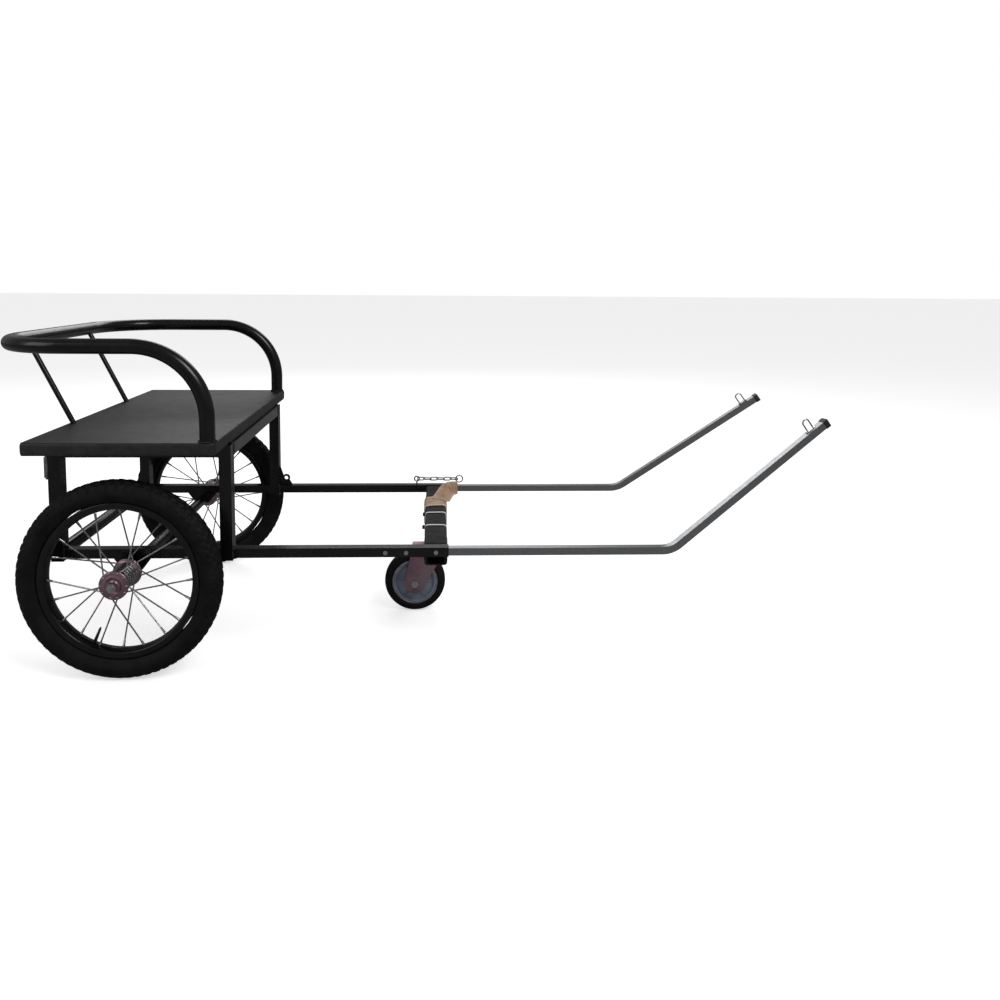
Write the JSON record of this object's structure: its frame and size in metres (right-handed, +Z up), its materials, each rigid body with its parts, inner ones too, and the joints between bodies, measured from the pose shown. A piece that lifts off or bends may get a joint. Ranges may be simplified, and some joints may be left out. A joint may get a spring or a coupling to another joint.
{
  "type": "dog cart",
  "caption": "Open two-wheeled cart pulled by a dog, with a flat seat board, a bent-tube backrest, telescoping shafts and a swivel caster under a padded cross beam.",
  "frame": {"origin": "on the ground, on the centreline, under the axle of the two big wheels", "axes": "+X forward towards the dog, +Y to the cart's left side, +Z up"},
  "size_m": [1.7563, 0.687, 0.686],
  "materials": {
    "black_paint": "gloss",
    "seat_laminate": "satin",
    "bright_zinc": "satin",
    "bare_aluminium": "satin",
    "black_plastic": "matte",
    "bright_steel": "gloss",
    "ribbed_rubber": "matte",
    "white_nylon": "satin",
    "tan_leather": "matte",
    "tinted_zinc": "satin",
    "grey_zinc": "satin",
    "black_tyre": "matte",
    "grey_plastic": "satin"
  },
  "bodies": {
    "frame": {"seat_board": "seat_laminate", "left_front_leg": "black_paint", "right_front_leg": "black_paint", "left_rear_leg": "black_paint", "right_rear_leg": "black_paint", "front_seat_rail": "black_paint", "rear_seat_rail": "black_paint", "left_seat_rail": "black_paint", "right_seat_rail": "black_paint", "left_side_rail": "black_paint", "right_side_rail": "black_paint", "left_shaft_sleeve": "black_paint", "right_shaft_sleeve": "black_paint", "rear_cross_tube": "black_paint", "axle_tube": "black_paint", "axle_brackets": "black_paint", "axle_spindles": "bright_zinc", "backrest_rail": "black_paint", "backrest_braces": "black_paint", "left_shaft_tube": "bare_aluminium", "right_shaft_tube": "bare_aluminium", "shaft_plugs": "black_plastic", "shaft_shackles": "bright_steel", "shaft_bolts": "bright_zinc", "footrest_beam": "black_paint", "footrest_pad": "ribbed_rubber", "cable_ties": "white_nylon", "hitch_strap": "tan_leather", "hitch_chain": "bright_steel", "caster_head": "tinted_zinc", "rear_latch": "grey_zinc", "left_eye_plate": "black_paint"},
    "left_wheel": {"left_tyre": "black_tyre", "left_rim": "black_paint", "left_spokes": "bright_steel", "left_hub": "tinted_zinc"},
    "right_wheel": {"right_tyre": "black_tyre", "right_rim": "black_paint", "right_spokes": "bright_steel", "right_hub": "tinted_zinc"},
    "caster": {"caster_fork": "tinted_zinc", "caster_axle": "bright_zinc"},
    "caster_wheel": {"caster_wheel": "grey_plastic", "caster_tyre": "black_tyre"}
  },
  "joints": [
    {"name": "left_wheel_spin", "type": "hinge", "parent": "frame", "child": "left_wheel", "pos_m": [0, 0.296, 0.203], "axis": [0, 1, 0], "continuous": true},
    {"name": "right_wheel_spin", "type": "hinge", "parent": "frame", "child": "right_wheel", "pos_m": [0, -0.296, 0.203], "axis": [0, 1, 0], "continuous": true},
    {"name": "caster_swivel", "type": "hinge", "parent": "frame", "child": "caster", "pos_m": [0.6285, 0, 0.16], "axis": [0, 0, 1], "continuous": true},
    {"name": "caster_spin", "type": "hinge", "parent": "caster", "child": "caster_wheel", "pos_m": [0.5795, 0, 0.073], "axis": [0, 1, 0], "continuous": true}
  ]
}
